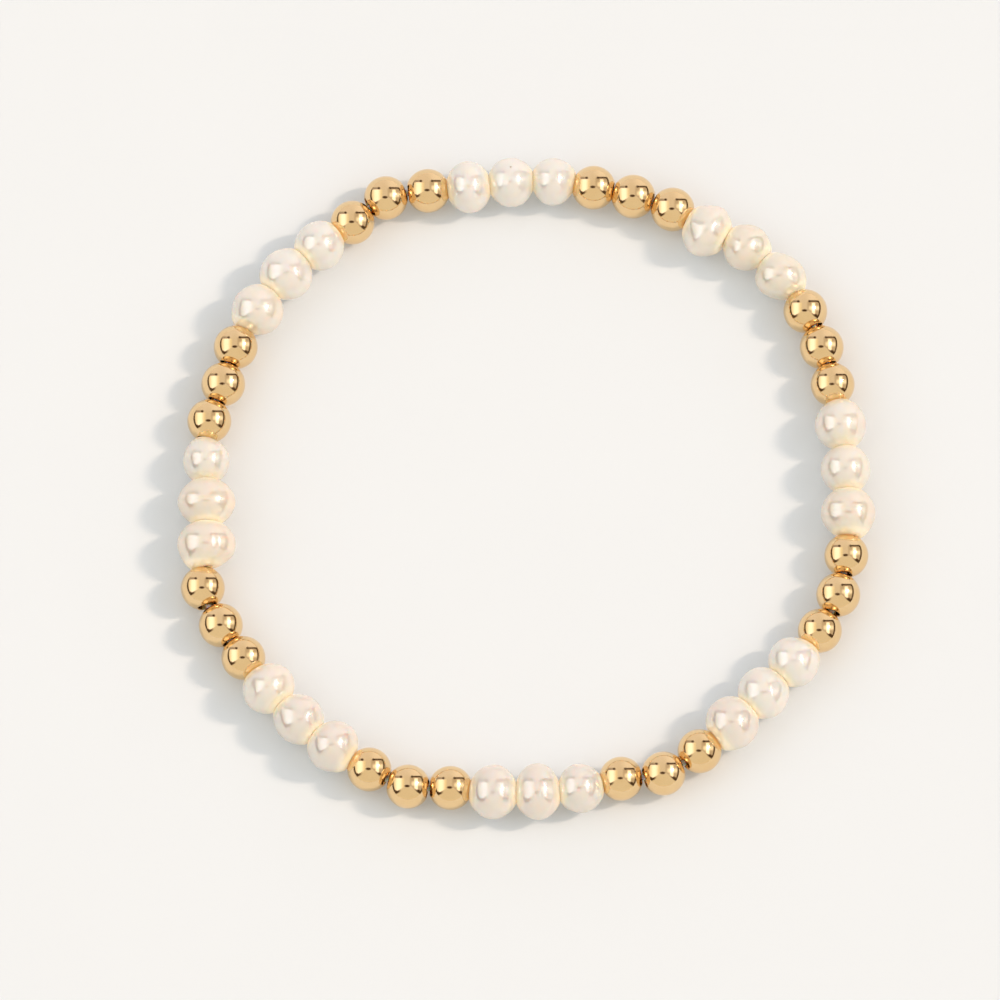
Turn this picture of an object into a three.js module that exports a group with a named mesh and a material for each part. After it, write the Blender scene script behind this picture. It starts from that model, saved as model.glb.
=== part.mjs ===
/**
 * Stretch bracelet of pearls and polished gold-coloured beads, lying flat as one closed loop.
 *
 * Units are millimetres and +Z is up. The origin is on the surface that the bracelet lies on, under
 * the middle of its box. Eight runs of three gold beads take turns with eight runs of three pearls,
 * and one elastic cord runs through all of them. Seen from above, the order of the beads is
 * clockwise, from the first gold bead at the upper left.
 */

import * as THREE from 'three';

// The elastic, and the room that each drilled hole leaves round it
const ELASTIC_DIAMETER = 0.6;
const GOLD_HOLE_PLAY = 0.45;
const PEARL_HOLE_PLAY = 0.35;

// The gold beads are round, with a narrow flat lip round each end of the hole
const GOLD_DIAMETER = 4.0;
const GOLD_LIP = 0.15;

// The pearls are potato-shaped, each one a little different from these two sizes
const PEARL_LENGTH = 3.9;
const PEARL_WIDTH = 4.7;

// The order on the string, and the least room between two beads
const RUNS = 8;
const BEADS_PER_RUN = 3;
const BEAD_CLEARANCE = 0.05;

// How finely the round forms are cut
const BEAD_SIDES = 12;
const BEAD_ARCS = 6;
const ELASTIC_SIDES = 8;
const ELASTIC_STEPS = 80;
const ROUTE_DIVISIONS = 4000;
const SETTLING_PASSES = 8;

// Each pearl in its order along the string. long is its share of PEARL_LENGTH. wide, across the
// string, and high are its shares of PEARL_WIDTH. flat is the radius of its worn end as a share of
// half its width. lean is how far its widest point sits along the string on the outer side of the
// loop, and as far back on the inner side, as a share of half its length.
const PEARLS = [
  { long: 0.93, wide: 1.01, high: 0.97, flat: 0.34, lean: 0.0 },
  { long: 0.98, wide: 0.95, high: 0.93, flat: 0.34, lean: 0.0 },
  { long: 0.91, wide: 0.91, high: 0.90, flat: 0.37, lean: 0.0 },
  { long: 0.89, wide: 1.03, high: 0.96, flat: 0.52, lean: 0.02 },
  { long: 0.97, wide: 0.91, high: 0.92, flat: 0.34, lean: 0.04 },
  { long: 1.02, wide: 0.92, high: 0.90, flat: 0.34, lean: 0.15 },
  { long: 1.09, wide: 0.98, high: 0.95, flat: 0.34, lean: 0.0 },
  { long: 1.04, wide: 0.95, high: 0.93, flat: 0.34, lean: 0.0 },
  { long: 1.03, wide: 1.05, high: 0.99, flat: 0.47, lean: 0.0 },
  { long: 0.99, wide: 0.98, high: 0.96, flat: 0.43, lean: 0.0 },
  { long: 1.00, wide: 1.01, high: 0.95, flat: 0.48, lean: 0.04 },
  { long: 1.00, wide: 1.04, high: 0.98, flat: 0.52, lean: 0.0 },
  { long: 0.95, wide: 0.95, high: 0.93, flat: 0.34, lean: 0.0 },
  { long: 0.96, wide: 1.10, high: 0.97, flat: 0.34, lean: 0.0 },
  { long: 1.01, wide: 1.06, high: 0.98, flat: 0.34, lean: 0.0 },
  { long: 0.98, wide: 1.00, high: 0.97, flat: 0.44, lean: 0.05 },
  { long: 1.00, wide: 0.96, high: 0.95, flat: 0.50, lean: 0.0 },
  { long: 0.95, wide: 1.03, high: 0.96, flat: 0.44, lean: 0.0 },
  { long: 1.00, wide: 1.12, high: 1.00, flat: 0.44, lean: 0.0 },
  { long: 1.02, wide: 1.10, high: 0.99, flat: 0.41, lean: 0.0 },
  { long: 0.98, wide: 0.89, high: 0.89, flat: 0.34, lean: 0.0 },
  { long: 1.05, wide: 0.99, high: 0.95, flat: 0.34, lean: 0.0 },
  { long: 1.05, wide: 1.02, high: 0.98, flat: 0.42, lean: -0.03 },
  { long: 0.96, wide: 0.94, high: 0.95, flat: 0.52, lean: 0.0 },
];

// The loop's route on the surface, x and y, chosen by hand where it bends. It starts under the
// first gold bead and is drawn larger or smaller until its length is that of the beads on it.
const ROUTE = [
  [-15.7, 25.5], [-12.6, 27.9], [-5.2, 28.8], [2.7, 29.4],
  [13.4, 26.8], [16.6, 24.6], [20.1, 23.1], [25.5, 17.0],
  [28.7, 5.7], [28.4, -10.4], [21.7, -19.7], [12.6, -27.4],
  [8.8, -27.9], [5.0, -28.9], [-2.8, -29.3], [-6.8, -28.8],
  [-10.5, -28.7], [-20.5, -22.3], [-29.2, -9.8], [-28.9, -5.7],
  [-28.7, 6.3], [-27.4, 10.0], [-26.2, 13.7], [-21.6, 20.5],
];

const goldMaterial = new THREE.MeshStandardMaterial({ color: 0xe6bd7d, roughness: 0.08, metalness: 1.0 });
const pearlMaterial = new THREE.MeshStandardMaterial({ color: 0xefe4d4, roughness: 0.25, metalness: 0.0 });
const elasticMaterial = new THREE.MeshStandardMaterial({ color: 0xe9e6dd, roughness: 0.45, metalness: 0.0 });

/** Sizes of a gold bead: its hole cuts two caps off the ball, so it is shorter than it is wide. */
function goldBead(number) {
  const hole = ELASTIC_DIAMETER + 2 * GOLD_HOLE_PLAY;
  const rim = hole / 2 + GOLD_LIP;
  const length = 2 * Math.sqrt((GOLD_DIAMETER / 2) ** 2 - rim ** 2);
  return {
    name: `gold_bead_${number}`,
    material: goldMaterial,
    length,
    width: GOLD_DIAMETER,
    height: GOLD_DIAMETER,
    rim,
    hole,
    lean: 0,
  };
}

/** Sizes of a pearl, from its row of shares. */
function pearl(number, row) {
  const width = row.wide * PEARL_WIDTH;
  return {
    name: `pearl_${number}`,
    material: pearlMaterial,
    length: row.long * PEARL_LENGTH,
    width,
    height: row.high * PEARL_WIDTH,
    rim: (row.flat * width) / 2,
    hole: ELASTIC_DIAMETER + 2 * PEARL_HOLE_PLAY,
    lean: row.lean,
  };
}

/** All beads in their order along the string, each run of gold beads followed by one of pearls. */
function beadsInOrder() {
  const beads = [];
  for (let run = 0; run < RUNS; run += 1) {
    for (let place = 0; place < BEADS_PER_RUN; place += 1) {
      const number = String(run * BEADS_PER_RUN + place + 1).padStart(2, '0');
      beads.push(goldBead(number));
    }
    for (let place = 0; place < BEADS_PER_RUN; place += 1) {
      const index = run * BEADS_PER_RUN + place;
      beads.push(pearl(String(index + 1).padStart(2, '0'), PEARLS[index % PEARLS.length]));
    }
  }
  return beads;
}

/**
 * A drilled bead with its hole along X. Its profile is the arc of an ellipse between the two worn
 * ends, turned about the hole. The skin is then pressed to the bead's height and leaned along X,
 * most at mid-length and not at all at the ends, so the hole stays round and straight.
 */
function beadGeometry(bead) {
  const halfLength = bead.length / 2;
  const halfWidth = bead.width / 2;
  const first = Math.asin(bead.rim / halfWidth);
  const step = (Math.PI - 2 * first) / BEAD_ARCS;
  const profile = [];
  for (let arc = 0; arc <= BEAD_ARCS; arc += 1) {
    const angle = first + arc * step;
    const along = (-halfLength * Math.cos(angle)) / Math.cos(first);
    profile.push(new THREE.Vector2(halfWidth * Math.sin(angle), along));
  }
  profile.push(new THREE.Vector2(bead.hole / 2, halfLength));
  profile.push(new THREE.Vector2(bead.hole / 2, -halfLength));
  profile.push(profile[0].clone());

  const geometry = new THREE.LatheGeometry(profile, BEAD_SIDES);
  geometry.rotateZ(-Math.PI / 2);
  const points = geometry.attributes.position;
  const skinFrom = (bead.hole / 2 + bead.rim) / 2;
  for (let i = 0; i < points.count; i += 1) {
    const [x, y, z] = [points.getX(i), points.getY(i), points.getZ(i)];
    if (Math.hypot(y, z) < skinFrom) {
      continue;
    }
    const middle = 1 - (x / halfLength) ** 2;
    points.setX(i, x + bead.lean * halfLength * (y / halfWidth) * middle);
    points.setZ(i, (z * bead.height) / bead.width);
  }
  return geometry;
}

/**
 * Threads the beads on the route. Each bead points from the one before it to the one after it, and
 * the pitch between two beads leaves room for the tilt of their end faces where the loop bends.
 */
function threadBeads(beads) {
  const corners = ROUTE.map(([x, y]) => new THREE.Vector3(x, y, 0));
  const route = new THREE.CatmullRomCurve3(corners, true, 'centripetal');
  route.arcLengthDivisions = ROUTE_DIVISIONS;
  const after = (i) => (i + 1) % beads.length;
  const before = (i) => (i + beads.length - 1) % beads.length;

  let pitches = beads.map((bead, i) => (bead.length + beads[after(i)].length) / 2);
  let centres = [];
  let axes = [];
  for (let pass = 0; pass < SETTLING_PASSES; pass += 1) {
    const loopLength = pitches.reduce((sum, pitch) => sum + pitch, 0);
    const scale = loopLength / route.getLength();
    let reached = 0;
    centres = beads.map((bead, i) => {
      const centre = route.getPointAt(reached / loopLength).multiplyScalar(scale);
      reached += pitches[i];
      return centre.setZ(bead.height / 2);
    });
    axes = beads.map((bead, i) => centres[after(i)].clone().sub(centres[before(i)]).normalize());
    pitches = beads.map((bead, i) => {
      const next = beads[after(i)];
      const chord = centres[after(i)].clone().sub(centres[i]);
      const tilt = bead.rim * Math.tan(axes[i].angleTo(chord));
      const nextTilt = next.rim * Math.tan(axes[after(i)].angleTo(chord));
      return (bead.length + next.length) / 2 + BEAD_CLEARANCE + tilt + nextTilt;
    });
  }
  return { centres, axes };
}

/** A bead on its place: hole along the string, one side up, and its lowest point on the surface. */
function beadMesh(bead, centre, axis) {
  const mesh = new THREE.Mesh(beadGeometry(bead), bead.material);
  mesh.name = bead.name;
  const outward = new THREE.Vector3(0, 0, 1).cross(axis).normalize();
  const upward = axis.clone().cross(outward);
  mesh.quaternion.setFromRotationMatrix(new THREE.Matrix4().makeBasis(axis, outward, upward));
  mesh.position.copy(centre);
  mesh.position.z -= new THREE.Box3().setFromObject(mesh, true).min.z;
  return mesh;
}

/** The elastic: one endless round cord through the middle of every bead. */
function elasticMesh(centres) {
  const path = new THREE.CatmullRomCurve3(centres, true, 'centripetal');
  path.arcLengthDivisions = ROUTE_DIVISIONS;
  const geometry = new THREE.TubeGeometry(path, ELASTIC_STEPS, ELASTIC_DIAMETER / 2, ELASTIC_SIDES, true);
  const mesh = new THREE.Mesh(geometry, elasticMaterial);
  mesh.name = 'elastic_cord';
  return mesh;
}

const bracelet = new THREE.Group();
const beads = beadsInOrder();
const { centres, axes } = threadBeads(beads);
const beadMeshes = beads.map((bead, i) => beadMesh(bead, centres[i], axes[i]));
bracelet.add(...beadMeshes);
bracelet.add(elasticMesh(beadMeshes.map((mesh) => mesh.position.clone())));

// The middle of the loop's box comes to stand over the origin
const box = new THREE.Box3().setFromObject(bracelet, true);
const middle = box.getCenter(new THREE.Vector3());
bracelet.position.set(-middle.x, -middle.y, -box.min.z);

export default bracelet;
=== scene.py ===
"""Looks of a stretch bracelet of pearls and polished gold-coloured beads, lying flat as one loop.

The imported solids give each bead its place, its direction on the string and its sizes. This script
replaces them by finer surfaces with real finishes: mirror-polished gold beads with rolled holes,
potato-shaped pearls that each have their own swellings and dents, and a milky elastic. All lengths
are metres, and +Z is up. Seen from above, the order on the string is clockwise.
"""

import logging
import math
from dataclasses import dataclass, field
from enum import Enum

import bpy
import numpy as np
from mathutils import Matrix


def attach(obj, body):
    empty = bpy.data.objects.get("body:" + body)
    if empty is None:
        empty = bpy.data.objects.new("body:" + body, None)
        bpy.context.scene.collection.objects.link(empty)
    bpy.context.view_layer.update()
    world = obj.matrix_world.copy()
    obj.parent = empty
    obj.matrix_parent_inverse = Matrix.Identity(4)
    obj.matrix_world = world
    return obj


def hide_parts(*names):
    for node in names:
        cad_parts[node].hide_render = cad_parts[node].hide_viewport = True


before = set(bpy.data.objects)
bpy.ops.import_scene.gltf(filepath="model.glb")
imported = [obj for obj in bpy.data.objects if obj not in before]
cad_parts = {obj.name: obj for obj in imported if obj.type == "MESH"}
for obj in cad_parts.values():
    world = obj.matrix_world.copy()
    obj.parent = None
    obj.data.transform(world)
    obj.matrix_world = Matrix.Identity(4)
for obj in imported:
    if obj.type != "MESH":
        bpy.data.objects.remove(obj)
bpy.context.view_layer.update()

MM = 0.001
log = logging.getLogger("bracelet")

# The photograph's camera: its height over the table, and the point that its middle looks at
CAMERA_ELEVATION = math.radians(71.0)
CAMERA_DISTANCE = 2.5
CAMERA_TARGET = (-2.40 * MM, -0.41 * MM, 0.0)
VIEW_WIDTH = 90.8 * MM

# The camera's right, its up, and the way back to it, as directions on the table
SIGHT_RIGHT = np.array([1.0, 0.0, 0.0])
SIGHT_UP = np.array([0.0, math.sin(CAMERA_ELEVATION), math.cos(CAMERA_ELEVATION)])
SIGHT_BACK = np.array([0.0, -math.cos(CAMERA_ELEVATION), math.sin(CAMERA_ELEVATION)])

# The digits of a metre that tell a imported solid's corners apart, the share of its reach from which
# a corner counts as its farthest, and the share of the hole's radius up to which one is the hole's
CORNER_DIGITS = 7
FARTHEST_SHARE = 0.999
HOLE_SHARE = 1.05

# A colour, and the two ends of a smooth change: where it is 0, and where it is 1
Rgb = tuple[float, float, float]
Span = tuple[float, float]

Socket = bpy.types.NodeSocket
Material = bpy.types.Material


class Tint(Enum):
    """The body colours that the pearls are sorted into."""

    CREAM = "cream"
    ROSE = "rose"
    WHITE = "white"
    HONEY = "honey"


class Kind(Enum):
    """The kinds of socket that a shared node group has."""

    FLOAT = "NodeSocketFloat"
    COLOUR = "NodeSocketColor"
    VECTOR = "NodeSocketVector"


class Number:
    """A number worked out by a node graph, with the usual arithmetic."""

    def __init__(self, graph: "Graph", socket: Socket) -> None:
        """Keeps the graph and the socket that the number comes out of."""
        self.graph = graph
        self.socket = socket

    def math(self, operation: str, *others: "Number | float") -> "Number":
        """Runs one Math node on this number.

        Args:
            operation: The Math node's operation.
            others: The node's second and third inputs.

        Returns:
            The node's result.
        """
        node = self.graph.add("ShaderNodeMath", {"operation": operation})
        return self.graph.answer(node, self, *others)

    def __add__(self, other: "Number | float") -> "Number":
        """Adds."""
        return self.math("ADD", other)

    def __sub__(self, other: "Number | float") -> "Number":
        """Takes away."""
        return self.math("SUBTRACT", other)

    def __mul__(self, other: "Number | float") -> "Number":
        """Multiplies."""
        return self.math("MULTIPLY", other)

    def __neg__(self) -> "Number":
        """Turns the sign round."""
        return self.math("MULTIPLY", -1.0)

    def size(self) -> "Number":
        """The number without its sign."""
        return self.math("ABSOLUTE")

    def least(self, other: "Number", rounding: float) -> "Number":
        """The smaller of two numbers, with a rounded change from one to the other."""
        return self.math("SMOOTH_MIN", other, rounding)

    def rise(self, low: float, high: float, start: float = 0.0, end: float = 1.0) -> "Number":
        """A smooth step.

        Args:
            low: Where the step starts.
            high: Where it ends. It may be under low.
            start: The step's height at low.
            end: Its height at high.

        Returns:
            The step's height.
        """
        node = self.graph.add("ShaderNodeMapRange", {"interpolation_type": "SMOOTHSTEP"})
        span = (low, high, start, end) if low < high else (high, low, end, start)
        return self.graph.answer(node, self, *span)


class Graph:
    """Adds nodes to a node tree and links them, so that a finish reads as a list of steps."""

    def __init__(self, tree: bpy.types.NodeTree) -> None:
        """Takes over a node tree and empties it."""
        self.tree = tree
        tree.nodes.clear()

    def add(self, kind: str, settings: dict | None = None, inputs: dict | None = None) -> bpy.types.Node:
        """Adds one node.

        Args:
            kind: The node's type name.
            settings: The node's own properties by name.
            inputs: What goes into its input sockets, by socket name.

        Returns:
            The node.
        """
        node = self.tree.nodes.new(kind)
        for name, value in (settings or {}).items():
            setattr(node, name, value)
        for name, value in (inputs or {}).items():
            self.feed(node.inputs[name], value)
        return node

    def feed(self, socket: Socket, value: object) -> None:
        """Links a value to a socket, or sets it there if it is a plain number or colour.

        Args:
            socket: The input socket.
            value: A number of this graph, a socket, or a plain value. A plain colour is opaque.
        """
        if isinstance(value, Number):
            value = value.socket
        if isinstance(value, Socket):
            self.tree.links.new(value, socket)
        else:
            socket.default_value = (*value, 1.0) if socket.type == "RGBA" else value

    def answer(self, node: bpy.types.Node, *values: object) -> Number:
        """Feeds a node's inputs in their order.

        Args:
            node: The node.
            values: What goes into its first inputs.

        Returns:
            Its first output.
        """
        for place, value in enumerate(values):
            self.feed(node.inputs[place], value)
        return Number(self, node.outputs[0])

    def vector_math(self, operation: str, *values: object) -> bpy.types.Node:
        """Adds one Vector Math node.

        Args:
            operation: Its operation.
            values: Its inputs.

        Returns:
            The node.
        """
        node = self.add("ShaderNodeVectorMath", {"operation": operation})
        self.answer(node, *values)
        return node

    def mix(self, factor: object, first: object, second: object) -> Socket:
        """Mixes two colours.

        Args:
            factor: The share of the second colour, from 0 to 1.
            first: The first colour.
            second: The second colour.

        Returns:
            The mixed colour's socket.
        """
        node = self.add("ShaderNodeMix", {"data_type": "RGBA"})
        colours = [socket for socket in node.inputs if socket.type == "RGBA"]
        for socket, value in zip((node.inputs[0], *colours), (factor, first, second)):
            self.feed(socket, value)
        return next(socket for socket in node.outputs if socket.type == "RGBA")

    def noise(self, position: Socket, per_metre: object, detail: float) -> Number:
        """A soft random pattern.

        Args:
            position: The point on the surface.
            per_metre: How many of its patches a metre holds.
            detail: How many finer patterns it carries.

        Returns:
            The pattern, from 0 to 1.
        """
        inputs = {"Vector": position, "Scale": per_metre, "Detail": detail}
        return Number(self, self.add("ShaderNodeTexNoise", {}, inputs).outputs[0])

    def bump(self, height: Number) -> Socket:
        """The normal of a surface that is raised by a height in metres."""
        inputs = {"Height": height, "Distance": 1.0, "Strength": 1.0}
        return self.add("ShaderNodeBump", {}, inputs).outputs[0]

    def attribute(self, name: str) -> Number:
        """A number that the piece's mesh keeps for each point."""
        return Number(self, self.add("ShaderNodeAttribute", {"attribute_name": name}).outputs["Fac"])


def new_group(
    name: str, inputs: dict[str, Kind], outputs: dict[str, Kind]
) -> tuple[bpy.types.NodeTree, Graph, bpy.types.NodeOutputs]:
    """Makes a node group with named sockets.

    Args:
        name: The group's name.
        inputs: Kinds of socket by input name.
        outputs: Kinds of socket by output name.

    Returns:
        The group, a graph that adds nodes to it, and what it is given.
    """
    tree = bpy.data.node_groups.new(name, "ShaderNodeTree")
    for way, sockets in (("INPUT", inputs), ("OUTPUT", outputs)):
        for socket_name, kind in sockets.items():
            tree.interface.new_socket(name=socket_name, in_out=way, socket_type=kind.value)
    graph = Graph(tree)
    return tree, graph, graph.add("NodeGroupInput").outputs


@dataclass(frozen=True)
class ToneDrift:
    """A slow drift between two tones over a surface, as plating, nacre and paper all have."""

    detail: float = 3.0
    change: Span = (0.34, 0.66)

    def build(self) -> bpy.types.NodeTree:
        """Makes the node group.

        Returns:
            The group, which puts out the drifting colour.
        """
        inputs = {"Position": Kind.VECTOR, "First tone": Kind.COLOUR, "Second tone": Kind.COLOUR}
        inputs["Patches per metre"] = Kind.FLOAT
        tree, graph, given = new_group("Tone drift", inputs, {"Colour": Kind.COLOUR})
        mask = graph.noise(given["Position"], given["Patches per metre"], self.detail).rise(*self.change)
        colour = graph.mix(mask, given["First tone"], given["Second tone"])
        graph.add("NodeGroupOutput", {}, {"Colour": colour})
        return tree


@dataclass(frozen=True)
class FineWear:
    """Hairlines and rubbed patches from handling, seen only in the gloss of a surface.

    A hairline is the edge between two cells of a pattern that is stretched one way, kept only where
    a slower pattern lets it show.
    """

    turn: tuple[float, float, float] = (0.5, 0.3, 0.9)
    stretch: tuple[float, float, float] = (1.0, 0.22, 0.45)
    line: Span = (0.035, 0.0)
    detail: float = 4.0
    shown: Span = (0.45, 0.62)
    rubbed: Span = (0.4, 0.7)

    def build(self) -> bpy.types.NodeTree:
        """Makes the node group.

        Returns:
            The group, which puts out a mask of the hairlines and one of the rubbed patches.
        """
        inputs = {"Position": Kind.VECTOR, "Lines per metre": Kind.FLOAT, "Patches per metre": Kind.FLOAT}
        tree, graph, given = new_group("Fine wear", inputs, {"Hairlines": Kind.FLOAT, "Rubbed": Kind.FLOAT})
        turned = graph.add(
            "ShaderNodeMapping",
            {},
            {"Vector": given["Position"], "Rotation": self.turn, "Scale": self.stretch},
        )
        cells = graph.add(
            "ShaderNodeTexVoronoi",
            {"feature": "DISTANCE_TO_EDGE"},
            {"Vector": turned.outputs[0], "Scale": given["Lines per metre"]},
        )
        edges = Number(graph, cells.outputs["Distance"]).rise(*self.line)
        patch = graph.noise(given["Position"], given["Patches per metre"], self.detail)
        masks = {"Hairlines": edges * patch.rise(*self.shown), "Rubbed": patch.rise(*self.rubbed)}
        graph.add("NodeGroupOutput", {}, masks)
        return tree


class SharedGroups:
    """The node groups that more than one finish places."""

    def __init__(self) -> None:
        """Builds each group once."""
        self.tone_drift = ToneDrift().build()
        self.fine_wear = FineWear().build()


class Surface:
    """A new material: its graph, its one shader, and the point that its patterns follow."""

    def __init__(self, name: str, groups: SharedGroups) -> None:
        """Makes the material.

        Args:
            name: Its name.
            groups: The shared node groups.
        """
        self.groups = groups
        self.material = bpy.data.materials.new(name)
        self.material.use_nodes = True
        # A faint glow is no lamp, and the render is quicker if it isn't sampled as one
        self.material.cycles.emission_sampling = "NONE"
        self.graph = Graph(self.material.node_tree)
        self.shader = self.graph.add("ShaderNodeBsdfPrincipled")
        self.graph.add("ShaderNodeOutputMaterial", {}, {"Surface": self.shader.outputs[0]})
        self.position = self.graph.add("ShaderNodeTexCoord").outputs["Object"]

    def place_group(self, group: bpy.types.NodeTree, inputs: dict) -> bpy.types.NodeOutputs:
        """Places a shared node group with this finish's own values.

        Args:
            group: The node group.
            inputs: Its inputs by name, apart from the position.

        Returns:
            What it puts out.
        """
        inputs = {"Position": self.position, **inputs}
        return self.graph.add("ShaderNodeGroup", {"node_tree": group}, inputs).outputs

    def drift(self, tone: Rgb, second_tone: Rgb, patches: float) -> Socket:
        """A colour that drifts between two tones, with so many patches in a metre."""
        inputs = {"First tone": tone, "Second tone": second_tone, "Patches per metre": patches}
        return self.place_group(self.groups.tone_drift, inputs)["Colour"]

    def wear(self, lines: float, patches: float) -> tuple[Number, Number]:
        """The masks of the hairlines and of the rubbed patches.

        Args:
            lines: How many hairlines a metre holds.
            patches: How many rubbed patches it holds.

        Returns:
            The two masks.
        """
        inputs = {"Lines per metre": lines, "Patches per metre": patches}
        masks = self.place_group(self.groups.fine_wear, inputs)
        return Number(self.graph, masks["Hairlines"]), Number(self.graph, masks["Rubbed"])

    def dress(self, looks: dict[str, object]) -> Material:
        """Feeds the shader.

        Args:
            looks: What goes into its inputs, by name.

        Returns:
            The finished material.
        """
        for name, value in looks.items():
            self.graph.feed(self.shader.inputs[name], value)
        return self.material


@dataclass(frozen=True)
class GoldFinish:
    """Mirror-polished plate of a warm peach gold, with faint hairlines from wear.

    Here and in the other finishes, patches, lines, rubs and ripples are numbers in a metre.
    """

    tone: Rgb = (0.875, 0.63, 0.34)
    deep_tone: Rgb = (0.86, 0.605, 0.315)
    patches: float = 700.0
    lines: float = 900.0
    rubs: float = 520.0
    ripples: float = 650.0
    roughness: float = 0.085
    rubbed_roughness: float = 0.03
    hairline_roughness: float = 0.04
    hairline_depth: float = 0.0009 * MM
    ripple_depth: float = 0.006 * MM

    def build(self, groups: SharedGroups) -> Material:
        """Makes the material.

        Args:
            groups: The shared node groups.

        Returns:
            The material.
        """
        surface = Surface("polished gold plate", groups)
        hairlines, rubbed = surface.wear(self.lines, self.rubs)
        ripple = surface.graph.noise(surface.position, self.ripples, detail=1.0)
        height = ripple * self.ripple_depth - hairlines * self.hairline_depth
        roughness = rubbed * self.rubbed_roughness + hairlines * self.hairline_roughness + self.roughness
        return surface.dress({
            "Base Color": surface.drift(self.tone, self.deep_tone, self.patches),
            "Roughness": roughness,
            "Metallic": 1.0,
            "Normal": surface.graph.bump(height),
        })


@dataclass(frozen=True)
class NacreFinish:
    """Satin nacre: a soft body colour under a lustre that mirrors the room a little blurred.

    The ends carry a painted warm tone and a painted glow, which stand in for the warm light where touching
    pearls meet.
    """

    tint: Tint
    tone: Rgb
    deep_tone: Rgb
    # Painted light: the warmer tone at the ends stands in for the warm glow where touching pearls meet
    painted_warm_end_tone: Rgb = (0.90, 0.755, 0.60)
    painted_warm_end_change: Span = (0.62, 1.0)
    # Painted glow: the pearls' ends give off a faint warm light, though they are no lamp
    painted_end_glow: Rgb = (0.17, 0.11, 0.06)
    painted_end_glow_change: Span = (0.82, 1.02)
    no_glow: Rgb = (0.0, 0.0, 0.0)
    stain_tone: Rgb = (0.30, 0.17, 0.08)
    patches: float = 420.0
    lines: float = 700.0
    rubs: float = 600.0
    roughness: float = 0.075
    roughness_change: float = 0.03
    lustre_index: float = 3.1
    mirror_tone: Rgb = (1.0, 1.0, 0.9)
    glow: float = 1.0
    glow_reach: float = 4.0 * MM
    glow_reaches: tuple[float, float, float] = (1.0, 0.6, 0.4)
    haze: float = 0.33
    haze_tone: Rgb = (1.0, 0.82, 0.70)
    haze_roughness: float = 0.5
    coat: float = 0.35
    coat_change: float = 0.15
    coat_roughness: float = 0.06
    wavers: float = 500.0
    waver: float = 9.0
    ring_pitch: float = 34.0
    ring_depth: float = 0.0004 * MM
    rings_shown: Span = (0.42, 0.66)
    pores: float = 5200.0
    pore_depth: float = 0.0002 * MM

    def build(self, groups: SharedGroups) -> Material:
        """Makes the material.

        Args:
            groups: The shared node groups.

        Returns:
            The material.
        """
        surface = Surface(f"nacre {self.tint.value}", groups)
        graph = surface.graph
        along = graph.attribute("along")
        from_middle = along.size()
        colour = surface.drift(self.tone, self.deep_tone, self.patches)
        # Painted glow: the base colour turns warmer towards the ends, where the pearls meet
        colour = graph.mix(from_middle.rise(*self.painted_warm_end_change), colour, self.painted_warm_end_tone)
        colour = graph.mix(graph.attribute("stain"), colour, self.stain_tone)
        # Painted glow: the ends emit a faint warm light that stands in for light passing between touching
        # pearls
        painted_end_glow_mask = from_middle.rise(*self.painted_end_glow_change)
        _, rubbed = surface.wear(self.lines, self.rubs)
        return surface.dress({
            "Base Color": colour,
            "Emission Color": graph.mix(painted_end_glow_mask, self.no_glow, self.painted_end_glow),
            "Emission Strength": 1.0,
            "Roughness": rubbed * self.roughness_change + self.roughness,
            "IOR": self.lustre_index,
            "Normal": self.relief(surface, along),
            "Subsurface Weight": self.glow,
            "Subsurface Radius": self.glow_reaches,
            "Subsurface Scale": self.glow_reach,
            "Coat Weight": -(rubbed * self.coat_change) + self.coat,
            "Coat Roughness": self.coat_roughness,
            "Specular Tint": self.mirror_tone,
            "Sheen Weight": self.haze,
            "Sheen Roughness": self.haze_roughness,
            "Sheen Tint": self.haze_tone,
        })

    def relief(self, surface: Surface, along: Number) -> Socket:
        """Growth rings round the hole and fine pores, as a bump.

        Args:
            surface: The material so far.
            along: The point's share of the way from the pearl's middle to its end.

        Returns:
            The bumped normal.
        """
        graph = surface.graph
        waver = graph.noise(surface.position, self.wavers, detail=2.0)
        rings = (along * self.ring_pitch + waver * self.waver).math("SINE")
        pores = graph.noise(surface.position, self.pores, detail=3.0)
        return graph.bump(rings * waver.rise(*self.rings_shown) * self.ring_depth + pores * self.pore_depth)


@dataclass(frozen=True)
class ElasticFinish:
    """Clear elastic gone milky, with a soft gloss."""

    tone: Rgb = (0.80, 0.76, 0.68)
    dull_tone: Rgb = (0.70, 0.65, 0.56)
    patches: float = 900.0
    lines: float = 2500.0
    rubs: float = 1500.0
    roughness: float = 0.38
    rubbed_roughness: float = 0.12
    milkiness: float = 0.7
    glow_reach: float = 0.4 * MM

    def build(self, groups: SharedGroups) -> Material:
        """Makes the material.

        Args:
            groups: The shared node groups.

        Returns:
            The material.
        """
        surface = Surface("milky elastic", groups)
        _, rubbed = surface.wear(self.lines, self.rubs)
        return surface.dress({
            "Base Color": surface.drift(self.tone, self.dull_tone, self.patches),
            "Roughness": rubbed * self.rubbed_roughness + self.roughness,
            "Subsurface Weight": self.milkiness,
            "Subsurface Scale": self.glow_reach,
        })


@dataclass(frozen=True)
class FloorFinish:
    """A matt white light table: it glows a little, so that shadows on it stay pale."""

    tone: Rgb = (0.672, 0.711, 0.733)
    second_tone: Rgb = (0.669, 0.708, 0.730)
    patches: float = 60.0
    glow: Rgb = (0.094, 0.091, 0.087)
    roughness: float = 0.8
    gloss: float = 0.1

    def build(self, groups: SharedGroups) -> Material:
        """Makes the material.

        Args:
            groups: The shared node groups.

        Returns:
            The material.
        """
        surface = Surface("matt light table", groups)
        return surface.dress({
            "Base Color": surface.drift(self.tone, self.second_tone, self.patches),
            "Roughness": self.roughness,
            "Specular IOR Level": self.gloss,
            "Emission Color": self.glow,
            "Emission Strength": 1.0,
        })


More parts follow.
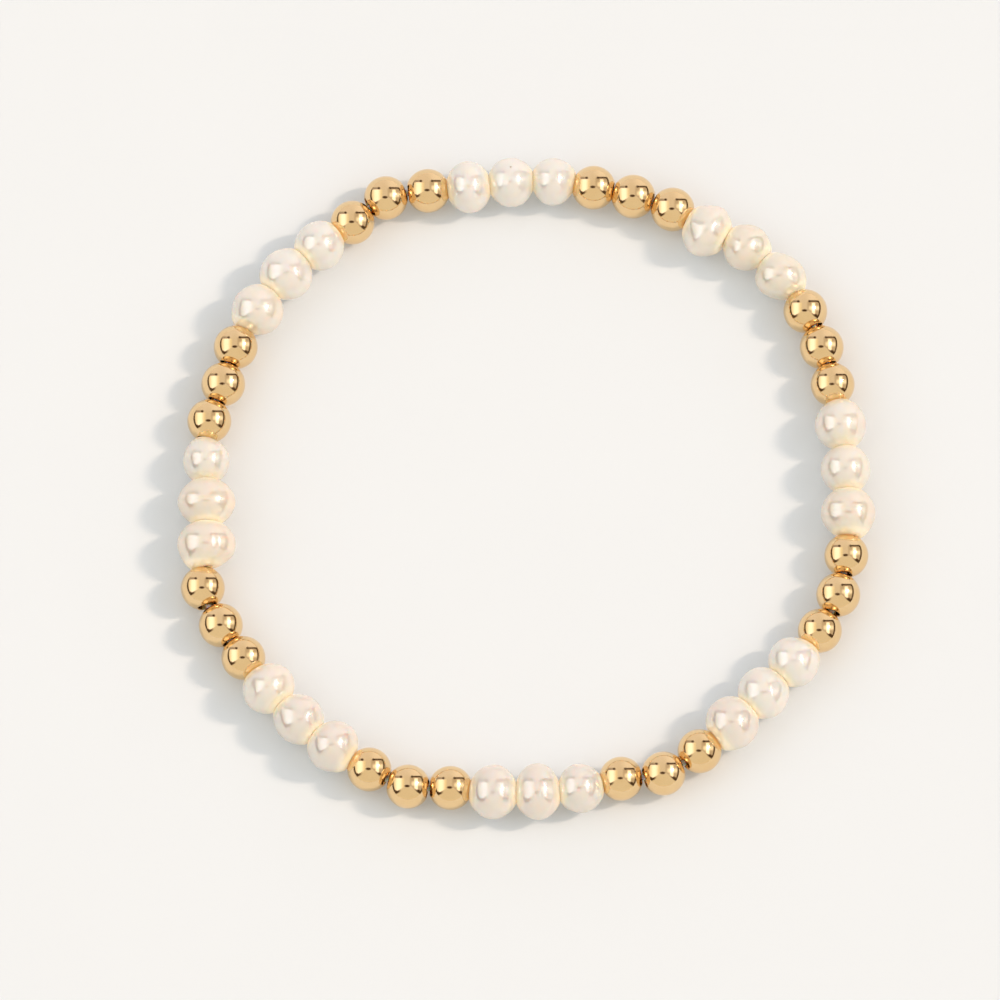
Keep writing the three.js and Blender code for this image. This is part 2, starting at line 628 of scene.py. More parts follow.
class Measure(Enum):
    """What a step of the light tent goes by, as a place or a distance on the mirror ball."""

    RIGHT = "right of the ball's middle"
    UP = "above the ball's middle"
    ARCH = "above the arch over the near wall"
    FRAME = "inside a window's outer side and top"
    SILL = "above a window's sill"
    INSIDE = "inside a window, from its nearest side"


@dataclass(frozen=True)
class Outline:
    """A window's outline on the mirror ball: a bowed outer side, a level top and a slanting sill.

    side is -1 at the left and 1 at the right. The window comes out as far as reach, at bow_level,
    and draws in from there by bow times the square of the way up or down. The sill is at sill_level
    at the ball's middle and falls by sill_slope on its way out, and sill_share turns the height
    over it into the distance from it. Corners are rounded.
    """

    side: float
    reach: float
    bow_level: float
    bow: float
    top: float
    top_rounding: float
    sill_level: float
    sill_slope: float
    sill_share: float
    sill_rounding: float = 0.03

    def distances(self, right: Number, up: Number) -> dict[Measure, Number]:
        """How far inside the window a place on the ball lies.

        Args:
            right: The place's share to the right.
            up: Its share upwards.

        Returns:
            The distances from the window's sides.
        """
        out = right * self.side
        from_bow = up - self.bow_level
        outer = -(out + from_bow * from_bow * self.bow) + self.reach
        frame_side = outer.least(-up + self.top, self.top_rounding)
        sill = (up - (-(out * self.sill_slope) + self.sill_level)) * self.sill_share
        inside = frame_side.least(sill, self.sill_rounding)
        return {Measure.FRAME: frame_side, Measure.SILL: sill, Measure.INSIDE: inside}


class BallPlace:
    """Where a mirror ball on the table shows each direction of the tent round it.

    The ball's normal there is halfway between that direction and the way back to the camera, and
    the place is the normal's share to the camera's right and up.
    """

    def __init__(self, graph: Graph, near_arch: float) -> None:
        """Works the place out for the direction that the world is asked for.

        Args:
            graph: The world's graph.
            near_arch: How far the near wall's arch falls, as a share of the square of the way out.
        """
        self.graph = graph
        direction = graph.add("ShaderNodeTexCoord").outputs["Generated"]
        halfway = graph.vector_math("ADD", direction, tuple(SIGHT_BACK))
        normal = graph.vector_math("NORMALIZE", halfway.outputs[0]).outputs[0]
        dots = [graph.vector_math("DOT_PRODUCT", normal, tuple(axis)) for axis in (SIGHT_RIGHT, SIGHT_UP)]
        right, up = (Number(graph, dot.outputs["Value"]) for dot in dots)
        self.both = graph.add("ShaderNodeCombineXYZ", {}, {"X": right, "Y": up}).outputs[0]
        arch = up + right * right * near_arch
        self.measures = {Measure.RIGHT: right, Measure.UP: up, Measure.ARCH: arch}

    def look_at(self, outline: Outline) -> None:
        """Takes the distances inside a window from now on as those of this one."""
        self.measures |= outline.distances(self.measures[Measure.RIGHT], self.measures[Measure.UP])


@dataclass(frozen=True)
class Step:
    """A smooth step of one measure, from start at low to end at high.

    Where middle is given, the step goes by the distance from it, and low is the far end.
    """

    measure: Measure
    low: float
    high: float
    middle: float | None = None
    start: float = 0.0
    end: float = 1.0

    def height(self, ball: BallPlace) -> Number:
        """The step's height at a place on the mirror ball.

        Args:
            ball: The place.

        Returns:
            The height.
        """
        way = ball.measures[self.measure]
        if self.middle is not None:
            way = (way - self.middle).size()
        return way.rise(self.low, self.high, self.start, self.end)


@dataclass(frozen=True)
class Spot:
    """A soft ellipse on the mirror ball: 1 inside, and a smooth fall to 0 round its edge.

    right, up, half_width and half_height are shares of the ball's radius, and turn is in degrees.
    edge is how far to each side of the outline the fall reaches, as a share of the ellipse.
    """

    right: float
    up: float
    half_width: float
    half_height: float
    turn: float = 0.0
    edge: float = 0.35

    def height(self, ball: BallPlace) -> Number:
        """The ellipse's height at a place on the mirror ball.

        Args:
            ball: The place.

        Returns:
            The height.
        """
        inputs = {
            "Vector": ball.both,
            "Location": (self.right, self.up, 0.0),
            "Rotation": (0.0, 0.0, math.radians(self.turn)),
            "Scale": (self.half_width, self.half_height, 1.0),
        }
        placed = ball.graph.add("ShaderNodeMapping", {"vector_type": "TEXTURE"}, inputs)
        away = ball.graph.vector_math("LENGTH", placed.outputs[0])
        return Number(ball.graph, away.outputs["Value"]).rise(1.0 + self.edge, 1.0 - self.edge)


@dataclass(frozen=True)
class Area:
    """A lit or dark area of the tent: its colour, and the heights whose product shows it.

    core is a brighter area inside it.
    """

    colour: Rgb
    heights: tuple[Step | Spot, ...]
    core: "Area | None" = None

    def over(self, ball: BallPlace, behind: object) -> Socket:
        """Lays the area over a colour.

        Args:
            ball: The place on the mirror ball.
            behind: The colour.

        Returns:
            The colour with the area.
        """
        mask, *others = (part.height(ball) for part in self.heights)
        for other in others:
            mask = mask * other
        colour = self.core.over(ball, self.colour) if self.core else self.colour
        return ball.graph.mix(mask, behind, colour)


DARK: Rgb = (0.085, 0.055, 0.035)

# The far wall's bright side, the ceiling strip between the windows, and the near wall
WALLS: tuple[Area, ...] = (
    Area((1.04, 1.0, 1.0), (Step(Measure.RIGHT, -0.1, 0.35), Step(Measure.UP, 0.45, 0.58))),
    Area((0.85, 0.81, 0.78), (Spot(-0.04, 0.12, 0.22, 0.42, edge=0.5),)),
    Area((0.86, 0.82, 0.73), (Step(Measure.ARCH, 0.0, -0.045),)),
)

# The left window: its dark edge, which fades towards the middle and the top, and its even light
LEFT_OUTLINE = Outline(-1.0, 0.648, 0.16, 0.63, 0.395, 0.08, 0.053, 0.51, 0.89)
LEFT_WINDOW: tuple[Area, ...] = (
    Area(DARK, (
        Step(Measure.INSIDE, -0.112, -0.085),
        Step(Measure.INSIDE, 0.012, -0.012),
        Step(Measure.RIGHT, -0.28, -0.46),
        Step(Measure.UP, 0.37, 0.43, start=1.0, end=0.55),
    )),
    Area(
        (1.04, 0.99, 0.80),
        (Step(Measure.INSIDE, -0.008, 0.035), Step(Measure.RIGHT, -0.13, -0.21)),
        core=Area((1.62, 1.64, 1.75), (Step(Measure.RIGHT, 0.22, 0.04, middle=-0.42),)),
    ),
)

# The right window: shaded cloth, a level and an upright strip of light, the lamp that throws the
# shadows with a halo round it, and the dark edges of the frame and the sill
RIGHT_OUTLINE = Outline(1.0, 0.668, 0.15, 0.55, 0.455, 0.14, 0.104, 0.74, 0.8)
RIGHT_WINDOW: tuple[Area, ...] = (
    Area((0.64, 0.58, 0.52), (Step(Measure.INSIDE, -0.01, 0.03), Step(Measure.RIGHT, 0.03, 0.14))),
    Area((1.28, 1.28, 1.25), (
        Step(Measure.UP, 0.16, 0.02, middle=0.14),
        Step(Measure.RIGHT, 0.10, 0.24),
        Step(Measure.INSIDE, 0.02, 0.08),
    )),
    Area((1.7, 1.65, 1.75), (
        Step(Measure.RIGHT, 0.10, 0.05, middle=0.365),
        Step(Measure.UP, 0.40, 0.35),
        Step(Measure.INSIDE, 0.02, 0.06),
    )),
    Area((2.8, 2.8, 3.0), (Spot(0.37, 0.15, 0.065, 0.125, edge=0.5),)),
    Area((174.0, 136.0, 106.0), (Spot(0.41, 0.18, 0.036, 0.018, edge=0.2),)),
    Area(DARK, (
        Step(Measure.FRAME, 0.045, 0.022, middle=0.0),
        Step(Measure.RIGHT, 0.12, 0.19),
        Step(Measure.SILL, -0.05, 0.0),
    )),
    Area(DARK, (
        Step(Measure.SILL, 0.05, 0.015, middle=0.0),
        Step(Measure.RIGHT, 0.24, 0.44),
        Step(Measure.FRAME, -0.05, 0.0),
    )),
)

# Dark things in the room that the polished beads show
DARK_SPOTS: tuple[Spot, ...] = (
    Spot(-0.32, 0.445, 0.065, 0.055),
    Spot(-0.565, -0.24, 0.085, 0.085, 25.0),
    Spot(0.19, 0.45, 0.06, 0.05, -20.0),
    Spot(0.49, -0.21, 0.11, 0.065, -38.0),
    Spot(-0.04, 0.03, 0.12, 0.058),
)


@dataclass(frozen=True)
class LightTent:
    """The white tent round the table, with a lit window at each side, seen as a mirror ball shows it."""

    wall: Rgb = (0.90, 0.86, 0.87)
    near_arch: float = 0.85

    def build(self) -> bpy.types.World:
        """Makes the world that lights the scene.

        Returns:
            The world.
        """
        world = bpy.data.worlds.new("light tent")
        world.use_nodes = True
        graph = Graph(world.node_tree)
        ball = BallPlace(graph, self.near_arch)
        colour = self.wall
        for area in WALLS:
            colour = area.over(ball, colour)
        for outline, areas in ((LEFT_OUTLINE, LEFT_WINDOW), (RIGHT_OUTLINE, RIGHT_WINDOW)):
            ball.look_at(outline)
            for area in areas:
                colour = area.over(ball, colour)
        for spot in DARK_SPOTS:
            colour = Area(DARK, (spot,)).over(ball, colour)
        background = graph.add("ShaderNodeBackground", {}, {"Color": colour})
        graph.add("ShaderNodeOutputWorld", {}, {"Surface": background.outputs[0]})
        return world


def in_scene(name: str, data: bpy.types.ID) -> bpy.types.Object:
    """Puts an object into the scene.

    Args:
        name: Its name.
        data: Its mesh or camera.

    Returns:
        The object.
    """
    made = bpy.data.objects.new(name, data)
    bpy.context.scene.collection.objects.link(made)
    return made


@dataclass(frozen=True)
class Setting:
    """The table and the camera. Neither belongs to the bracelet."""

    floor_reach: float = 4.0
    sensor_width: float = 36.0
    nearest_seen: float = 0.01

    def build_floor(self, material: Material) -> None:
        """Makes the flat floor that the beads rest on.

        Args:
            material: The floor's material.
        """
        reach = self.floor_reach
        corners = [(-reach, -reach, 0.0), (reach, -reach, 0.0), (reach, reach, 0.0), (-reach, reach, 0.0)]
        mesh = bpy.data.meshes.new("floor")
        mesh.from_pydata(corners, [], [(0, 1, 2, 3)])
        mesh.materials.append(material)
        floor = in_scene("floor", mesh)

    def build_camera(self) -> None:
        """Makes the camera at the photograph's angle, looking along +Y."""
        data = bpy.data.cameras.new("camera")
        data.sensor_width = self.sensor_width
        data.lens = self.sensor_width * CAMERA_DISTANCE / VIEW_WIDTH
        data.clip_start = self.nearest_seen
        camera = in_scene("camera", data)
        camera.location = np.array(CAMERA_TARGET) + SIGHT_BACK * CAMERA_DISTANCE
        camera.rotation_euler = (math.pi / 2 - CAMERA_ELEVATION, 0.0, 0.0)
        bpy.context.scene.camera = camera


def node_points(name: str) -> np.ndarray:
    """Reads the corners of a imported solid, each one once.

    Args:
        name: The solid's node.

    Returns:
        One row of x, y and z for each corner.
    """
    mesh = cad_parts[name].data
    flat = np.empty(len(mesh.vertices) * 3, dtype=np.float32)
    mesh.vertices.foreach_get("co", flat)
    return np.unique(np.round(flat.reshape(-1, 3).astype(float), CORNER_DIGITS), axis=0)


def unit(vectors: np.ndarray) -> np.ndarray:
    """The same directions with a length of 1."""
    return vectors / np.linalg.norm(vectors, axis=-1, keepdims=True)


@dataclass(frozen=True)
class Place:
    """Where a bead sits: its middle, and its own three directions as the rows of axes.

    The directions are along the hole towards the next bead, outward from the loop, and upward.
    """

    centre: np.ndarray
    axes: np.ndarray

    def local(self, points: np.ndarray) -> np.ndarray:
        """Turns points of the scene into the bead's own directions."""
        return (points - self.centre) @ self.axes.T

    def world(self, points: np.ndarray) -> np.ndarray:
        """Turns points in the bead's own directions into points of the scene."""
        return self.centre + points @ self.axes

    def seen(self, right: float, up: float) -> np.ndarray:
        """The direction from the bead's middle to what the camera sees at a spot on the bead.

        Args:
            right: How far right of its middle, as a share of its radius.
            up: How far up.

        Returns:
            The direction in the bead's own directions, of length 1.
        """
        towards = math.sqrt(max(0.0, 1.0 - right * right - up * up))
        return self.axes @ (right * SIGHT_RIGHT + up * SIGHT_UP + towards * SIGHT_BACK)


@dataclass(frozen=True)
class BeadSizes:
    """A packed bead's own sizes, measured on its solid."""

    half_length: float
    half_width: float
    half_height: float
    hole: float
    flat: float
    lean: float

    @classmethod
    def measure(cls, name: str, place: Place) -> "BeadSizes":
        """Measures a packed bead.

        Args:
            name: The bead's node.
            place: Where it sits.

        Returns:
            Its sizes.
        """
        points = place.local(node_points(name))
        along, outward, upward = points.T
        half_length = along.max()
        from_hole = np.hypot(outward, upward)
        hole = from_hole.min()
        half_width = outward.max()
        end = (along > half_length * FARTHEST_SHARE) & (from_hole > hole * HOLE_SHARE)
        widest = along[outward > half_width * FARTHEST_SHARE].mean()
        return cls(
            half_length=half_length,
            half_width=half_width,
            half_height=upward.max(),
            hole=hole,
            flat=outward[end].max(),
            lean=widest / half_length,
        )


def closed_grid_faces(rings: int, sides: int) -> np.ndarray:
    """Four-cornered faces of a grid that closes on itself both ways, like a ring's skin.

    Args:
        rings: How many rows of points.
        sides: How many points in each row.

    Returns:
        One row of four point numbers for each face.
    """
    ring, side = np.meshgrid(np.arange(rings), np.arange(sides), indexing="ij")
    next_ring = (ring + 1) % rings
    next_side = (side + 1) % sides
    corners = [(ring, side), (ring, next_side), (next_ring, next_side), (next_ring, side)]
    return np.stack([row * sides + column for row, column in corners], axis=-1).reshape(-1, 4)


def enclosed_volume(points: np.ndarray, faces: np.ndarray) -> float:
    """The volume that a closed mesh holds, below 0 if its faces point inwards.

    Args:
        points: The mesh's points.
        faces: Its four-cornered faces.

    Returns:
        The sum over its triangles of the volume between each and the origin.
    """
    triangles = np.concatenate([faces[:, [0, 1, 2]], faces[:, [0, 2, 3]]])
    first, second, third = (points[triangles[:, corner]] for corner in range(3))
    return float(np.einsum("ij,ij->i", first, np.cross(second, third)).sum() / 6.0)


def add_piece(
    name: str,
    grid: np.ndarray,
    material: Material,
    replaced: str,
    attributes: dict[str, np.ndarray] | None = None,
) -> bpy.types.Object:
    """Makes a piece of the bracelet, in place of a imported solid.

    Args:
        name: Its name.
        grid: Its points, as a grid that closes on itself both ways.
        material: Its material.
        replaced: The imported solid's node.
        attributes: Numbers kept for each point, by name.

    Returns:
        The piece.
    """
    points = grid.reshape(-1, 3)
    faces = closed_grid_faces(*grid.shape[:2])
    if enclosed_volume(points - points.mean(axis=0), faces) < 0.0:
        faces = faces[:, ::-1]
    mesh = bpy.data.meshes.new(name)
    mesh.from_pydata(points.tolist(), [], faces.tolist())
    mesh.shade_smooth()
    for key, values in (attributes or {}).items():
        layer = mesh.attributes.new(key, "FLOAT", "POINT")
        layer.data.foreach_set("value", values.ravel().astype(np.float32))
    mesh.materials.append(material)
    piece = in_scene(name, mesh)
    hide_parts(replaced)
    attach(piece, "root")
    return piece


def smooth_step(values: np.ndarray, low: float, high: float) -> np.ndarray:
    """A smooth step from 0 at low to 1 at high, as three squares less two cubes of the share."""
    share = np.clip((values - low) / (high - low), 0.0, 1.0)
    return share * share * (3.0 - 2.0 * share)


def drilled_skin(
    arc: np.ndarray,
    lip_centre: tuple[float, float],
    lip: float,
    first: float,
    counts: tuple[int, int, int],
) -> np.ndarray:
    """Closes a bead's outer arc into a drilled bead's profile, and turns it about the hole.

    At each end a lip turns from the arc's last direction to the hole's wall. It is an arc of one
    radius, with its places at the lip's middle plus that radius times the cosine along and the sine
    across, and both ends are joined by the wall. Each point of the profile is then carried round a
    circle: its place along stays, and its distance from the hole's middle is multiplied by the
    cosine outward and the sine upward.

    Args:
        arc: The outer arc from the far end to the near end, as rows of along and across.
        lip_centre: The far lip's middle, along and across.
        lip: The lip's radius.
        first: The angle from the hole's direction at which the lip starts.
        counts: How many points each lip has, the wall between the lips, and the circle.

    Returns:
        A grid of points in the bead's own directions, one row for each point of the profile.
    """
    lip_points, wall_points, sides = counts
    turn = np.linspace(first, -math.pi / 2, lip_points + 1)[1:]
    far_lip = np.column_stack([lip_centre[0] + lip * np.cos(turn), lip_centre[1] + lip * np.sin(turn)])
    wall_along = np.linspace(-lip_centre[0], lip_centre[0], wall_points + 2)[1:-1]
    wall = np.column_stack([wall_along, np.full(wall_points, lip_centre[1] - lip)])
    profile = np.concatenate([arc, far_lip * (-1.0, 1.0), wall, far_lip[::-1]])
    along, radius = profile.T[..., None]
    circle = np.linspace(0.0, 2.0 * math.pi, sides, endpoint=False)
    skin = np.broadcast_arrays(along, radius * np.cos(circle), radius * np.sin(circle))
    return np.stack(skin, axis=-1)


@dataclass
class GoldBead:
    """A round bead of polished plate, drilled through, with the hole's edge rolled inwards."""

    name: str
    place: Place
    sizes: BeadSizes
    sides: int = 72
    arc_points: int = 34
    lip_points: int = 6
    bore_points: int = 3
    rim_narrowing: float = 0.04 * MM

    def points(self) -> np.ndarray:
        """The bead's skin: a ball's arc and its lips, turned about the hole.

        The arc is the ball's radius times the cosine along and the sine across. The lip's radius is
        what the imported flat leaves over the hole, divided by one plus the sine of its first angle.

        Returns:
            A grid of points in the bead's own directions.
        """
        ball = self.sizes.half_width
        rim = self.sizes.flat - self.rim_narrowing
        first = math.asin(rim / ball)
        lip = (rim - self.sizes.hole) / (1.0 + math.sin(first))
        lip_centre = ((ball - lip) * math.cos(first), self.sizes.hole + lip)
        turn = np.linspace(first, math.pi - first, self.arc_points)
        arc = np.column_stack([ball * np.cos(turn), ball * np.sin(turn)])
        return drilled_skin(arc, lip_centre, lip, first, (self.lip_points, self.bore_points, self.sides))

    def build(self, material: Material) -> bpy.types.Object:
        """Makes the bead, of the gold's material, and returns the piece."""
        grid = self.place.world(self.points())
        return add_piece(f"polished_{self.name}", grid, material, self.name)


@dataclass(frozen=True)
class Swell:
    """A soft swelling of a pearl's skin, or a dent where height is below 0.

    right and up say where the camera sees it, as shares of the pearl's radius, and height, long and
    wide are shares of its half width. turn is the direction of its long way, in degrees from right.
    """

    right: float
    up: float
    height: float
    long: float
    wide: float
    turn: float = 0.0


@dataclass(frozen=True)
class Stain:
    """A small brown speck on a pearl, placed as a swelling is."""

    right: float
    up: float
    radius: float


@dataclass(frozen=True)
class Character:
    """What sets one pearl apart: its tint, its swellings and dents, and its specks.

    crown is how high the pearl's top swells, as a share of its half width.
    """

    tint: Tint
    crown: float
    swells: tuple[Swell, ...] = ()
    stains: tuple[Stain, ...] = ()


@dataclass(frozen=True)
class Seam:
    """The plane in which two neighbours on the string meet: a point of it, and the way along."""

    point: np.ndarray
    way: np.ndarray


@dataclass
class Pearl:
    """A potato-shaped pearl, drilled through its short way."""

    name: str
    place: Place
    sizes: BeadSizes
    character: Character
    seed: int
    seams: tuple[Seam, ...] = ()
    sides: int = 128
    arc_points: int = 64
    lip_points: int = 4
    bore_points: int = 2
    lip: float = 0.05 * MM
    press: float = 0.03 * MM
    end_sharpness: float = 36.0
    skin_start: float = 0.5
    unevenness: float = 0.006
    waves: int = 7
    wave_pitch: float = 1.6
    still_ends: Span = (0.72, 0.97)
    crown_place: float = 0.1
    crown_width: float = 0.5
    draw_power: int = 3
    stain_core: float = 0.5

    def points(self) -> np.ndarray:
        """The pearl's skin: an ellipse cut flat at both ends, turned about the hole.

        The ellipse is half the length times the cosine along, over the cosine at the flat end, and
        half the width times the sine across. Its share of the half length is divided by the root,
        of a high power, of one plus that power of it, so that it levels off at the flat end. Then
        the skin is pressed, swollen, leaned, and drawn out to its neighbours.

        Returns:
            A grid of points in the pearl's own directions.
        """
        half_length = self.sizes.half_length
        half_width = self.sizes.half_width
        edge = math.asin((self.sizes.hole + self.lip) / half_width)
        cut = math.cos(math.asin(self.sizes.flat / half_width))
        turn = np.linspace(edge, math.pi - edge, self.arc_points)
        share = np.cos(turn) / cut
        levelled = share / (1.0 + np.abs(share) ** self.end_sharpness) ** (1.0 / self.end_sharpness)
        arc = np.column_stack([half_length * levelled / levelled[0], half_width * np.sin(turn)])
        lip_centre = (half_length - self.lip, self.sizes.hole + self.lip)
        grid = drilled_skin(arc, lip_centre, self.lip, 0.0, (self.lip_points, self.bore_points, self.sides))
        from_hole = np.hypot(grid[..., 1], grid[..., 2])
        skin = smooth_step(from_hole, self.sizes.hole + self.lip, self.skin_start * half_width)
        grid[..., 2] *= 1.0 + (self.sizes.half_height / half_width - 1.0) * skin
        return self.seated(self.leaned(self.swollen(grid, skin)))

    def seated(self, grid: np.ndarray) -> np.ndarray:
        """Draws each end out to its seam, so that neighbours on the string touch.

        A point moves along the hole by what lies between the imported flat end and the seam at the
        point's own distance outward and upward, times a power of its share of the half length.

        Args:
            grid: The skin's points.

        Returns:
            The moved points.
        """
        share = grid[..., 0] / self.sizes.half_length
        seated = grid.copy()
        for side, seam in zip((-1.0, 1.0), self.seams):
            point = self.place.local(seam.point)
            way = self.place.axes @ seam.way
            level = (point @ way - grid[..., 1] * way[1] - grid[..., 2] * way[2]) / way[0]
            draw = level - side * (self.sizes.half_length - self.press)
            seated[..., 0] += draw * np.clip(side * share, 0.0, 1.0) ** self.draw_power
        return seated

    def swollen(self, grid: np.ndarray, skin: np.ndarray) -> np.ndarray:
        """Moves the skin in and out along its direction from the pearl's middle.

        The move is a sum of slow waves over that direction, and of one bell for each swelling, with
        the bell's two widths along the swelling's long way and across it.

        Args:
            grid: The skin's points.
            skin: 1 on the skin, and 0 at the hole, which stays round.

        Returns:
            The moved points.
        """
        half = np.array([self.sizes.half_length, self.sizes.half_width, self.sizes.half_height])
        direction = unit(grid / half)
        draws = np.random.default_rng(self.seed)
        move = np.zeros(grid.shape[:2])
        for _ in range(self.waves):
            way = draws.normal(size=3)
            phase = draws.uniform(0.0, 2.0 * math.pi)
            wave = np.cos(direction @ way * self.wave_pitch + phase)
            move += wave * self.unevenness / math.sqrt(self.waves)
        crown = Swell(0.0, self.crown_place, self.character.crown, self.crown_width, self.crown_width)
        for swell in (crown, *self.character.swells):
            move += swell.height * self.bell(direction, swell)
        to_end = np.abs(grid[..., 0]) / self.sizes.half_length
        move *= skin * (1.0 - smooth_step(to_end, *self.still_ends))
        return grid + direction * (move * self.sizes.half_width)[..., None]

    def bell(self, direction: np.ndarray, swell: Swell) -> np.ndarray:
        """A bell curve over the skin round a swelling's middle.

        Args:
            direction: Unit directions from the pearl's middle.
            swell: The swelling.

        Returns:
            1 at the swelling's middle, falling to 0 round it.
        """
        middle = self.place.seen(swell.right, swell.up)
        turn = math.radians(swell.turn)
        long_way = self.place.axes @ (math.cos(turn) * SIGHT_RIGHT + math.sin(turn) * SIGHT_UP)
        long_way = unit(long_way - middle * (long_way @ middle))
        wide_way = np.cross(middle, long_way)
        along = direction @ long_way / swell.long
        across = direction @ wide_way / swell.wide
        return np.exp(-0.5 * (along**2 + across**2)) * (direction @ middle > 0.0)

    def leaned(self, grid: np.ndarray) -> np.ndarray:
        """Leans the skin along the hole, most at mid-length and not at all at the ends.

        Args:
            grid: The skin's points.

        Returns:
            The leaned points.
        """
        middle = 1.0 - (grid[..., 0] / self.sizes.half_length) ** 2
        outward = grid[..., 1] / self.sizes.half_width
        leaned = grid.copy()
        leaned[..., 0] += self.sizes.lean * self.sizes.half_length * outward * middle
        return leaned

    def stain_mask(self, grid: np.ndarray) -> np.ndarray:
        """How strongly each point is stained.

        Args:
            grid: The skin's points.

        Returns:
            From 0 to 1 for each point.
        """
        direction = unit(grid)
        mask = np.zeros(grid.shape[:2])
        for stain in self.character.stains:
            middle = self.place.seen(stain.right, stain.up)
            away = np.linalg.norm(direction - middle, axis=-1)
            mask = np.maximum(mask, 1.0 - smooth_step(away, self.stain_core * stain.radius, stain.radius))
        return mask

    def build(self, materials: dict[Tint, Material]) -> bpy.types.Object:
        """Makes the pearl.

        Args:
            materials: The nacre's material for each tint.

        Returns:
            The piece.
        """
        skin = self.points()
        grid = self.place.world(skin)
        grid[..., 2] -= grid[..., 2].min()
        attributes = {"along": skin[..., 0] / self.sizes.half_length, "stain": self.stain_mask(skin)}
        material = materials[self.character.tint]
        return add_piece(f"satin_{self.name}", grid, material, self.name, attributes)


@dataclass
class Elastic:
    """The endless round elastic through the middle of every bead."""

    centres: np.ndarray
    radius: float = 0.3 * MM
    sides: int = 12
    steps_per_bead: int = 6

    def points(self) -> np.ndarray:
        """A circle carried along a closed curve through the beads' middles.

        Between two middles the curve is the cubic that leaves and reaches them along the line
        between their neighbours. The circle stands square to it, with its first point level.

        Returns:
            A grid of points, one row for each step along the curve.
        """
        before = np.roll(self.centres, 1, axis=0)
        after = np.roll(self.centres, -1, axis=0)
        beyond = np.roll(self.centres, -2, axis=0)
        leave, reach = (after - before) / 2.0, (beyond - self.centres) / 2.0
        share = (np.arange(self.steps_per_bead) / self.steps_per_bead)[None, :, None]
        start, end = self.centres[:, None], after[:, None]
        leave, reach = leave[:, None], reach[:, None]
        path = (
            start * (2 * share**3 - 3 * share**2 + 1)
            + leave * (share**3 - 2 * share**2 + share)
            + end * (3 * share**2 - 2 * share**3)
            + reach * (share**3 - share**2)
        ).reshape(-1, 3)
        ahead = unit(np.roll(path, -1, axis=0) - np.roll(path, 1, axis=0))
        level = unit(np.cross(ahead, (0.0, 0.0, 1.0)))
        upright = np.cross(level, ahead)
        turn = np.linspace(0.0, 2.0 * math.pi, self.sides, endpoint=False)[None, :, None]
        circle = level[:, None] * np.cos(turn) + upright[:, None] * np.sin(turn)
        return path[:, None] + self.radius * circle

    def build(self, material: Material) -> bpy.types.Object:
        """Makes the elastic, of its material, and returns the piece."""
        return add_piece("milky_elastic", self.points(), material, "elastic_cord")


NACRE_TONES: dict[Tint, tuple[Rgb, Rgb]] = {
    Tint.WHITE: ((0.73, 0.695, 0.67), (0.735, 0.69, 0.66)),
    Tint.CREAM: ((0.73, 0.675, 0.625), (0.735, 0.67, 0.615)),
    Tint.HONEY: ((0.72, 0.645, 0.57), (0.725, 0.64, 0.56)),
    Tint.ROSE: ((0.68, 0.63, 0.595), (0.685, 0.625, 0.585)),
}

# Each pearl in its order along the string, read from the photograph
PEARL_CHARACTERS: tuple[Character, ...] = (
    Character(Tint.WHITE, 0.10),
    Character(Tint.WHITE, 0.06, (Swell(-0.25, 0.1, -0.014, 0.4, 0.08, 80.0),), (Stain(-0.02, 0.62, 0.05),)),
    Character(Tint.WHITE, 0.10),
    Character(Tint.CREAM, 0.03, (Swell(0.0, 0.0, 0.08, 0.9, 0.3, 50.0),)),
    Character(Tint.HONEY, 0.0, (Swell(-0.2, -0.05, 0.12, 0.42, 0.42),)),
    Character(Tint.HONEY, 0.06),
    Character(Tint.CREAM, 0.10, (Swell(0.64, 0.0, 0.012, 0.5, 0.08, 80.0),)),
    Character(Tint.CREAM, 0.09),
    Character(Tint.HONEY, 0.03, (Swell(0.45, 0.05, 0.04, 0.45, 0.45),), (Stain(0.25, -0.8, 0.06),)),
    Character(Tint.WHITE, 0.07, (Swell(0.45, -0.25, 0.02, 0.4, 0.14, -45.0),)),
    Character(Tint.WHITE, 0.06, (Swell(0.32, 0.0, 0.022, 0.5, 0.12, 110.0),)),
    Character(Tint.ROSE, 0.09),
    Character(Tint.ROSE, 0.02, (Swell(0.75, 0.0, -0.03, 0.6, 0.3, 90.0),)),
    Character(Tint.ROSE, 0.04, (Swell(0.5, -0.5, 0.03, 0.5, 0.1, 75.0),)),
    Character(Tint.ROSE, 0.03),
    Character(Tint.ROSE, 0.13),
    Character(Tint.ROSE, 0.03, (Swell(0.3, 0.1, 0.035, 0.5, 0.18, 50.0),)),
    Character(Tint.CREAM, 0.13, (Swell(-0.68, -0.15, -0.03, 0.28, 0.17, 80.0),)),
    Character(Tint.HONEY, 0.05, (Swell(0.3, 0.05, -0.02, 0.35, 0.07, 90.0),)),
    Character(Tint.HONEY, 0.0, (Swell(0.0, 0.05, 0.035, 0.8, 0.22),)),
    Character(Tint.CREAM, 0.12),
    Character(Tint.CREAM, 0.09),
    Character(Tint.WHITE, 0.05, (Swell(0.35, 0.1, 0.022, 0.4, 0.18, -40.0),)),
    Character(Tint.WHITE, 0.13, (Swell(0.45, -0.45, -0.012, 0.12, 0.1),)),
)


